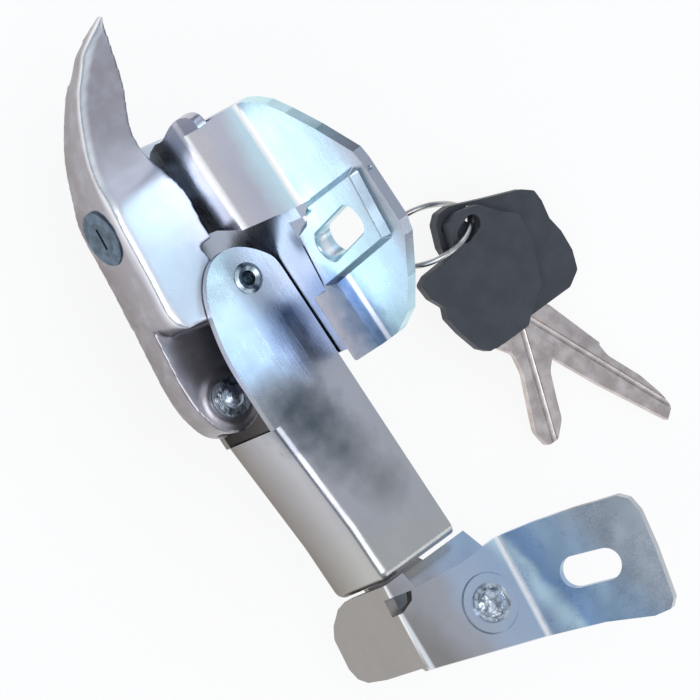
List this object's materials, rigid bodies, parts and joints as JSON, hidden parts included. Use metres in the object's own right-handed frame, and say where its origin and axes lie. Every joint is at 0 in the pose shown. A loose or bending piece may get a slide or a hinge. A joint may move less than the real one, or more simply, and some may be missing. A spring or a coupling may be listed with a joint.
{
  "type": "lockable toggle latch",
  "caption": "Plated steel paddle latch: claw-shaped lever with cam lock, drawn channel arm, slotted base bracket, bent slotted keeper and keys on a ring.",
  "frame": {"origin": "on the axis of the round mounting hole in the base's far foot, in the plane of the mounting panel", "axes": "+X into the panel, -X outward to the lever; +Y along the draw arm toward the claw's tip; +Z along the hinge pins, toward the slotted wing"},
  "size_m": [0.144, 0.2181, 0.1336],
  "materials": {
    "zinc_plate": "bright zinc plate",
    "satin_zinc": "satin cast metal",
    "rivet_steel": "bright zinc plate",
    "lock_grey": "dark slate grey",
    "key_plastic": "satin black",
    "key_metal": "nickel plate"
  },
  "bodies": {
    "base": {"base_bracket": "zinc_plate", "pivot_bracket": "zinc_plate", "lever_pivot_pin": "rivet_steel"},
    "lever": {"lever_handle": "satin_zinc", "lock_body": "lock_grey", "lock_nut": "rivet_steel"},
    "plug": {"lock_plug": "lock_grey", "lock_cam": "rivet_steel", "cam_screw": "rivet_steel"},
    "arm": {"draw_arm": "zinc_plate", "link_pin": "rivet_steel", "link_spacer": "rivet_steel", "link_washer": "rivet_steel", "hook_plate": "zinc_plate", "hook_rivets": "rivet_steel"},
    "keeper": {"keeper_bracket": "zinc_plate", "keeper_pin": "rivet_steel", "keeper_spacer": "rivet_steel", "keeper_washer": "rivet_steel"},
    "ring": {"key_ring": "key_metal"},
    "key_1": {"key_1_head": "key_plastic", "key_1_blade": "key_metal"},
    "key_2": {"key_2_head": "key_plastic", "key_2_blade": "key_metal"}
  },
  "joints": [
    {"name": "lever_pivot", "type": "hinge", "parent": "base", "child": "lever", "pos_m": [-0.0297, -0.025, 0.0365], "axis": [0, 0, 1], "range_deg": [0, 90]},
    {"name": "arm_pivot", "type": "hinge", "parent": "lever", "child": "arm", "pos_m": [-0.013, 0, 0.0365], "axis": [0, 0, 1], "range_deg": [-72, 0]},
    {"name": "keeper_pivot", "type": "hinge", "parent": "arm", "child": "keeper", "pos_m": [-0.0057, -0.1102, 0.0365], "axis": [0, 0, 1], "range_deg": [0, 25]},
    {"name": "lock_turn", "type": "hinge", "parent": "lever", "child": "plug", "pos_m": [-0.03555, 0.0302, 0.0354], "axis": [0.9962, -0.0872, 0], "range_deg": [0, 90]},
    {"name": "ring_lift", "type": "slide", "parent": "base", "child": "ring", "axis": [0, 0, 1], "range_m": [0, 0.06]},
    {"name": "key_1_turn", "type": "hinge", "parent": "ring", "child": "key_1", "pos_m": [0.0757, -0.02585, 0.00825], "axis": [0, -0.2011, 0.9796], "range_deg": [-4, 0]},
    {"name": "key_2_turn", "type": "hinge", "parent": "ring", "child": "key_2", "pos_m": [0.0712, -0.02845, 0.01149], "axis": [0, -0.2011, 0.9796], "range_deg": [0, 4]}
  ],
  "couplings": [
    {"joint": "arm_pivot", "follows": "lever_pivot", "ratio": -0.8}
  ]
}
